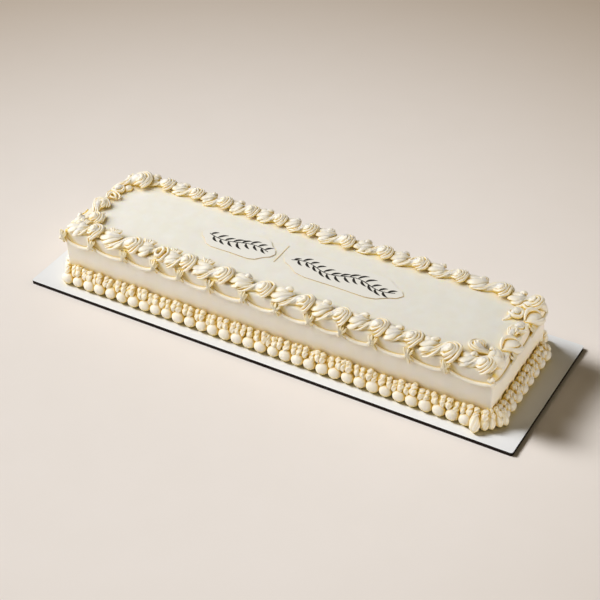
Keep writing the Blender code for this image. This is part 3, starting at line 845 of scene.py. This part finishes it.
def bead(spot, side, size=1.0):
    """One bead of the lower row: a ball whose tip is pulled up to the wall."""
    turns = np.linspace(BALL_START, BALL_END, BALL_RINGS)
    shape = [(-math.cos(turn), math.sin(turn)) for turn in turns] + list(BEAD_TIP)
    slant = rng.normal(0, 0.08)
    rows = []
    for along, radius in shape:
        out, high = (middle + BEAD_RADIUS * size * BEAD_SQUASH * along * lean
                     for middle, lean in zip(BEAD_MIDDLE, BEAD_LEAN))
        rows.append((spot + slant * along * BEAD_RADIUS, out, BOARD_TOP + high,
                     radius * BEAD_RADIUS * size, 0.0))
    return on_wall(rows, side, 1, 34, 32, BEAD_FLATNESS, underside=-0.7)


def shell(spot, side):
    """One small twisted shell of the upper row. Its foot swings over the bead below."""
    size = rng.uniform(0.95, 1.22)
    lift = rng.normal(0, 1.0)
    spot += rng.normal(0, 0.7)
    lean = SHELL_LEAN + np.cumsum(rng.normal(0, 0.6, len(SHELL)))
    rows = [(spot + shift, out, BOARD_TOP + high + lift, radius * size, SHELL_RIDGE)
            for shift, (out, high, radius) in zip(lean, SHELL)]
    return on_wall(rows, side, 4, 28, 6, twist=rng.uniform(3, 5), underside=-0.6)


print("a bead is", round(2 * BEAD_RADIUS, 1), "mm wide")

# %% [markdown]
# ## The base border
# Two shells stand over each bead and cover its tip. Behind them a first rope, the bedding, closes the
# joint. On the right front corner a fan of long ridged pulls hides where the rows meet.

# %% Pipe the base border
BEAD_PITCH = 17.4
SHELL_PITCH = BEAD_PITCH / 2
ROW_END = 8.0
SHELLS_FURTHER, BEDDING_FURTHER = 3.0, 4.0
SHORT_SIDE_GAP = 9.0
SHORT_SIDE_PULL = 3.0
# The bedding: out from the wall, above the board, radius, and its painted amber shade
BEDDING = (3.0, 13.5, 5.2)
BEDDING_SHADE = 0.3
# Rows of a pull on the right front corner: out from the corner, above the board, radius
CORNER_PULL = ((5, 18, 1), (8.6, 14.5, 4.8), (12.4, 10.4, 6.4), (16, 6.8, 6.4), (19, 4.4, 4.6), (21, 3, 1))
CORNER_SPOTS = (-16, -8.5, -1.5, 5, 12)
CORNER_SHELLS = (-7, 0, 7)
# How close the pulls stand, how fast they spread, how far the outer ones draw back, and their ridges
CORNER_CLOSE, CORNER_FAN, CORNER_ROUND, CORNER_RIDGE = 0.8, 0.03, 0.25, 0.2
CORNER_INSET = 5
CORNER = wall(RIGHT - CORNER_INSET, FRONT + CORNER_INSET, -45)


def corner_pull(spot):
    """One long ridged pull on the right front corner. The pulls spread like a fan."""
    size = rng.uniform(0.86, 1.04)
    bend = rng.normal(0, 0.12)
    rows = [(CORNER_CLOSE * spot * (1 + CORNER_FAN * out) + bend * out, size * out - CORNER_ROUND * abs(spot),
             BOARD_TOP + high, radius * size, CORNER_RIDGE) for out, high, radius in CORNER_PULL]
    return on_wall(rows, CORNER, 6, 24, 5, twist=rng.uniform(0.5, 2), underside=-0.6)


def evenly(half, pitch):
    """Spots from one end to the other, about one pitch apart."""
    return np.linspace(-half, half, round(2 * half / pitch) + 1)


def bedding(half, side):
    """The rope behind the shells."""
    out, high, radius = BEDDING
    # Painted amber shade runs along the bedding, deep in the joint
    rows = [(spot, out, BOARD_TOP + high, radius, 0, BEDDING_SHADE) for spot in evenly(half, SHELL_PITCH)]
    return on_wall(rows, side, 3, 90, 5)


for name, side in WALLS.items():
    short = name in ("left", "right")
    half = (HALF_WIDTH - SHORT_SIDE_GAP if short else HALF_LENGTH) - ROW_END
    nearer = (side[0] - SHORT_SIDE_PULL * short * side[2], *side[1:])
    beads = [bead(spot + rng.normal(0, 0.5), nearer, rng.uniform(0.95, 1.03))
             for spot in evenly(half, BEAD_PITCH)]
    shells = [shell(spot, side) for spot in evenly(half + SHELLS_FURTHER, SHELL_PITCH)]
    shells.append(bedding(half + BEDDING_FURTHER, side))
    if name == "front":
        beads = beads[:-1] + [corner_pull(spot) for spot in CORNER_SPOTS]
        shells += [shell(spot, CORNER) for spot in CORNER_SHELLS]
    make_piece(f"piped_beads_{name}", beads, [f"base_beads_{name}"])
    make_piece(f"piped_shells_{name}", shells, [f"base_shells_{name}"])

# %% [markdown]
# ## The board
# A thin fibreboard with a white film on top, cut by laser, which burns the edge dark. The CAD board has
# the right shape, so it stays, and one material tells top from edge by the direction that it faces.
# The film shines a little, and the burnt edge is matt and nearly black.

# %% Finish the board
FILM, FILM_BRIGHT = "#E9EBEE", "#EDEFF2"
CHAR, CHAR_BROWN = "#120B07", "#2A1B12"
FILM_PATCH, CHAR_PATCH = 40, 3
FILM_ROUGHNESS, EDGE_ROUGHNESS = 0.35, 0.95


def board_finish():
    """White film over burnt fibreboard: the top shines a little, and the edge is dark and matt."""
    material, tree, shader = new_material("white_film_on_fibreboard")
    place = add(tree, "ShaderNodeTexCoord").outputs["Object"]
    up = faces_up(tree, 0.9)
    edge = mottled(tree, place, CHAR_PATCH, 4.0, CHAR, CHAR_BROWN)
    film = mottled(tree, place, FILM_PATCH, 2.0, FILM, FILM_BRIGHT)
    both = add(tree, "ShaderNodeMix", [RGBA], _0=up, _6=edge, _7=film)
    sheen = add(tree, "ShaderNodeMapRange", [("To Min", EDGE_ROUGHNESS), ("To Max", FILM_ROUGHNESS)],
                Value=up)
    tree.links.new(both.outputs[2], shader.inputs["Base Color"])
    tree.links.new(sheen.outputs[0], shader.inputs["Roughness"])
    set_values(shader, Specular_IOR_Level=0.3, IOR=1.5)
    return material


board = frame["nodes"]["board"]
board.data.materials.clear()
board.data.materials.append(board_finish())

# %% [markdown]
# ## Plaques of sugar paper
# Thin sheets of starch and sugar, cut round the ornament that they carry. They are matt and warm
# white like the icing, so only their cut edge, painted beige as shade, and their thin shadow show. The CAD
# plaques have the right outline and stay.

# %% Finish the plaques
# Beige painted on the side faces of the sheets, as the shade along their cut
CUT_EDGE_SHADE = "#E3CFA8"
FIBRE = 2


def sugar_paper(name, light, dark):
    """Matt starch paper with a faint fibre, and painted beige shade on its cut edge."""
    material, tree, shader = new_material(name)
    place = add(tree, "ShaderNodeTexCoord").outputs["Object"]
    sheet = mottled(tree, place, FIBRE, 4.0, light, dark)
    both = add(tree, "ShaderNodeMix", [RGBA, (6, paint(CUT_EDGE_SHADE))], _0=faces_up(tree, 0.5), _7=sheet)
    tree.links.new(both.outputs[2], shader.inputs["Base Color"])
    set_values(shader, Roughness=0.6, IOR=1.45)
    return material


PAPER = sugar_paper("sugar_paper", "#F3F1EA", "#F0EEE6")
BEIGE_PAPER = sugar_paper("beige_sugar_paper", "#EFE0C2", "#E9D8B6")
for name in ("plaque_left", "plaque_right"):
    frame["nodes"][name].data.materials.clear()
    frame["nodes"][name].data.materials.append(PAPER)
print("finished in", PAPER.name + ":", "plaque_left, plaque_right")

# %% [markdown]
# ## Edible ink
# Food colour, nearly black, laid on the paper. It soaks in unevenly, so two dark tones mix, and it
# dries with the slight sheen of a glaze. The lines are thin meshes, since the part carries no image.

# %% Ink and pen
INK_DARK, INK_PALE, SOAK = "#171411", "#2A2622", 1.5
PEN_HAIRLINE, PEN_BROAD, PEN_CONTRAST = 1.1, 1.9, 1.4
LEAF_FULLEST = 0.8
STEPS_PER_POINT = 10


def ink_material():
    """Edible ink: nearly black, with the slight sheen of a dried glaze."""
    material, tree, shader = new_material("edible_ink")
    place = add(tree, "ShaderNodeTexCoord").outputs["Object"]
    tree.links.new(mottled(tree, place, SOAK, 3.0, INK_DARK, INK_PALE), shader.inputs["Base Color"])
    set_values(shader, Roughness=0.5, IOR=1.45)
    return material


def pen_line(points, height, swell=0.0):
    """A flat ribbon as wide as a broad pen would make it there. A leaf swells in its middle instead."""
    line = through(points, STEPS_PER_POINT * len(points))
    along = unit(np.gradient(line, axis=0))
    share = np.linspace(0, 1, len(line))[:, None]
    width = PEN_HAIRLINE + (PEN_BROAD - PEN_HAIRLINE) * np.abs(along[:, 1:2]) ** PEN_CONTRAST
    if swell:
        width = swell * np.sin(np.pi * share ** LEAF_FULLEST)
    across = np.column_stack((-along[:, 1], along[:, 0]))
    edges = np.stack((line + across * width / 2, line - across * width / 2), axis=1).reshape(-1, 2)
    vertices = np.column_stack((edges, np.full(len(edges), height)))
    faces = [[step, step + 1, step + 3, step + 2] for step in range(0, len(edges) - 2, 2)]
    return vertices, faces, np.zeros(len(edges))


INK = ink_material()
print("edible ink:", len(INK.node_tree.nodes), "nodes")

# %% [markdown]
# ## The ornament
# A sprig of slender leaves on a waving stem on each plaque. The stem follows a sine wave, thicker where
# it runs across the cake and hair thin where it runs along it. Leaves leave it on both sides in turn.

# %% Draw the ornament
INK_LIFT = 0.15
INK_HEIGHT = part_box("plaque_left")[1].z / MM + INK_LIFT
STEM_WAVE = 4.5
LEAF_PITCH = 11.0
LEAF_LENGTH = 16.0
LEAF_WIDTH = 3.4
LEAF_ANGLES = (62, 38, 20)
FIRST_LEAF, LAST_LEAF = 3, 4
SHORTER_AT_ENDS = 0.3


def sprig(middle, half_length, waves):
    """A waving stem with leaves on both sides, each a little different."""
    def stem(along):
        wave = STEM_WAVE * math.sin(math.pi * waves * along / half_length)
        return np.array((middle[0] + along, middle[1] + wave))

    stops = np.linspace(-half_length, half_length, 8 * waves + 1)
    strokes = [pen_line([stem(along) for along in stops], INK_HEIGHT)]
    places = np.arange(-half_length + FIRST_LEAF, half_length - LAST_LEAF, LEAF_PITCH / 2)
    for number, place in enumerate(places):
        way = 1 - 2 * (number % 2)
        taper = 1 - SHORTER_AT_ENDS * abs(place / half_length) ** 3
        length = LEAF_LENGTH * rng.uniform(0.85, 1.1) * taper
        points = [stem(place)]
        for angle in LEAF_ANGLES:
            turn = way * math.radians(angle + rng.uniform(-6, 6))
            step = length / len(LEAF_ANGLES) * np.array((math.cos(turn), math.sin(turn)))
            points.append(points[-1] + step)
        strokes.append(pen_line(points, INK_HEIGHT, LEAF_WIDTH))
    return strokes


make_piece("ornament_left", sprig((-88, 4), 43, 1), [], INK)
make_piece("ornament_right", sprig((61, 4), 72, 2), [], INK)

# %% [markdown]
# ## The divider
# A narrow strip of beige sugar paper lies between the plaques, across the cake. It is a flat bar with
# sharp edges, so its faces are shaded flat.

# %% Lay the divider
DIVIDER_X, DIVIDER_WIDTH = -29.0, 1.2
DIVIDER_ENDS = (-9, 29)
DIVIDER_HEIGHTS = (0.1, 0.6)

left, right = DIVIDER_X - DIVIDER_WIDTH / 2, DIVIDER_X + DIVIDER_WIDTH / 2
near, far = DIVIDER_ENDS
outline = ((left, near), (right, near), (right, far), (left, far))
strip = [(x, y, TOP + height) for height in DIVIDER_HEIGHTS for x, y in outline]
strip_faces = [[4, 5, 6, 7], [3, 2, 1, 0]]
strip_faces += [[corner, (corner + 1) % 4, (corner + 1) % 4 + 4, corner + 4] for corner in range(4)]
divider = make_piece("divider_strip", [(np.array(strip), strip_faces, np.zeros(8))], [],
                     BEIGE_PAPER)
divider.data.polygons.foreach_set("use_smooth", [False] * len(strip_faces))

# %% [markdown]
# ## The floor
# Plain pale studio paper, matt and faintly mottled. Far from the cake it runs out of the light and
# turns brown, which a smooth fade in the colour gives more evenly than a lamp would.

# %% Lay the floor
FLOOR_HALF = 6.0
FADE_MIDDLE = (-0.1, -0.15, 0.0)
FADE_START, FADE_END = 0.3, 1.5
PAPER_WARM, PAPER_PALE, PAPER_SHADE = "#EDE6E0", "#F0E9E4", "#A9967F"
MOTTLE = 60


def floor_paper():
    """Matt pale paper with a soft mottle, and painted shade that turns it brown far away."""
    material, tree, shader = new_material("studio_paper")
    place = add(tree, "ShaderNodeTexCoord").outputs["Object"]
    tone = mottled(tree, place, MOTTLE, 3.0, PAPER_WARM, PAPER_PALE)
    from_middle = add(tree, "ShaderNodeVectorMath", [("operation", "DISTANCE"), (1, FADE_MIDDLE)], _0=place)
    away = add(tree, "ShaderNodeMapRange",
               [("interpolation_type", "SMOOTHSTEP"), ("From Min", FADE_START), ("From Max", FADE_END)],
               Value=from_middle.outputs["Value"])
    faded = add(tree, "ShaderNodeMix", [RGBA, (7, paint(PAPER_SHADE))], _0=away.outputs[0], _6=tone)
    tree.links.new(faded.outputs[2], shader.inputs["Base Color"])
    set_values(shader, Roughness=0.9)
    return material


mesh = bpy.data.meshes.new("floor")
corners = [(-FLOOR_HALF, -FLOOR_HALF, 0), (FLOOR_HALF, -FLOOR_HALF, 0), (FLOOR_HALF, FLOOR_HALF, 0),
           (-FLOOR_HALF, FLOOR_HALF, 0)]
mesh.from_pydata(corners, [], [(0, 1, 2, 3)])
mesh.materials.append(floor_paper())
floor = bpy.data.objects.new("floor", mesh)
bpy.context.scene.collection.objects.link(floor)
print("floor:", 2 * FLOOR_HALF, "m wide")

# %% [markdown]
# ## The light
# One soft window stands on the left and a little in front, so the cake throws a shadow to the
# right. One size can't serve both: the floor needs a narrow beam for its shadow, and the piping a wide
# one for soft ridges. So the window is two lamps in nearly one direction, and light linking says what
# each lights. A warm glow and two pale cards fill the shade, and the room adds a little amber.

# %% Light the cake
# The narrow window lights the floor, the board and the pieces on the shady right
SHADY = ("floor", "board", "piped_beads_right", "piped_shells_right", "piped_swags_right")
ROOM_TINT, ROOM_STRENGTH = "#FFEAC4", 0.12

iced = bpy.data.collections.new("iced_pieces")
cake = bpy.data.collections.new("all_of_the_cake")
piping = bpy.data.collections.new("piping")
table = bpy.data.collections.new("floor_and_board")
for piece in bpy.data.objects:
    if piece.type == "MESH":
        (table if piece.name in SHADY else iced).objects.link(piece)
        if piece.name not in ("floor", "board"):
            cake.objects.link(piece)
    if piece.name.startswith("piped") and piece.name not in SHADY:
        piping.objects.link(piece)


def softbox(name, azimuth, elevation, distance, size, watts, tint, aim, spread, lit):
    """A square area light that looks at a point and lights one collection. Angles are in degrees."""
    light = bpy.data.lights.new(name, "AREA")
    light.shape = "SQUARE"
    light.size = size
    light.energy = watts
    light.color = paint(tint)[:3]
    light.spread = math.radians(spread)
    lamp = bpy.data.objects.new(name, light)
    turn, rise = math.radians(azimuth), math.radians(elevation)
    way = Vector((math.cos(turn) * math.cos(rise), math.sin(turn) * math.cos(rise), math.sin(rise)))
    lamp.location = Vector(aim) + way * distance
    lamp.rotation_euler = way.to_track_quat("Z", "Y").to_euler()
    bpy.context.scene.collection.objects.link(lamp)
    lamp.light_linking.receiver_collection = lit


softbox("window", 188, 39, 8.0, 3.8, 57, "#FFFFFF", (0.0, -0.1, 0.0), 26, table)
softbox("window_on_cream", 190, 43, 4.0, 3.4, 206, "#FFFFFF", (0.0, -0.1, 0.0), 180, iced)
softbox("glow", -75, 40, 6.0, 5.0, 84, "#FFF0D2", (0.0, 0.0, 0.04), 180, piping)
softbox("card_right", 0, 3, 3.5, 1.6, 84, "#FFF8EE", (0.0, 0.0, 0.04), 180, cake)
softbox("card_front", -118, 12, 1.1, 0.8, 2.6, "#FFFFFF", (-0.22, 0.0, 0.04), 180, iced)
world = bpy.data.worlds.new("room")
world.use_nodes = True
world.node_tree.nodes["Background"].inputs["Color"].default_value = paint(ROOM_TINT)
world.node_tree.nodes["Background"].inputs["Strength"].default_value = ROOM_STRENGTH
bpy.context.scene.view_settings.view_transform = "Standard"
bpy.context.scene.world = world

# %% [markdown]
# ## The camera
# It was worked out from the corners of the board and the rows of piping in the photograph. It
# stands in front, to the right and above, with a long lens, so the cake runs away from the lower right.

# %% Place the camera
CAMERA_PLACE = (0.77096, -1.29087, 1.18021)
CAMERA_PITCH, CAMERA_YAW, CAMERA_ROLL = (math.radians(value) for value in (37.563, -30.774, -1.315))
LENS = 90.594

lens = bpy.data.cameras.new("camera")
lens.lens = LENS
lens.sensor_width = 36.0
camera = bpy.data.objects.new("camera", lens)
forward = Vector((math.sin(CAMERA_YAW) * math.cos(CAMERA_PITCH),
                  math.cos(CAMERA_YAW) * math.cos(CAMERA_PITCH), -math.sin(CAMERA_PITCH)))
level_right = Vector((math.cos(CAMERA_YAW), -math.sin(CAMERA_YAW), 0.0))
level_up = level_right.cross(forward)
picture_right = math.cos(CAMERA_ROLL) * level_right + math.sin(CAMERA_ROLL) * level_up
picture_up = math.cos(CAMERA_ROLL) * level_up - math.sin(CAMERA_ROLL) * level_right
turned = Matrix((picture_right, picture_up, -forward)).transposed()
camera.matrix_world = Matrix.Translation(CAMERA_PLACE) @ turned.to_4x4()
bpy.context.scene.collection.objects.link(camera)
bpy.context.scene.camera = camera
print("camera looks down by", round(math.degrees(CAMERA_PITCH), 1), "degrees")
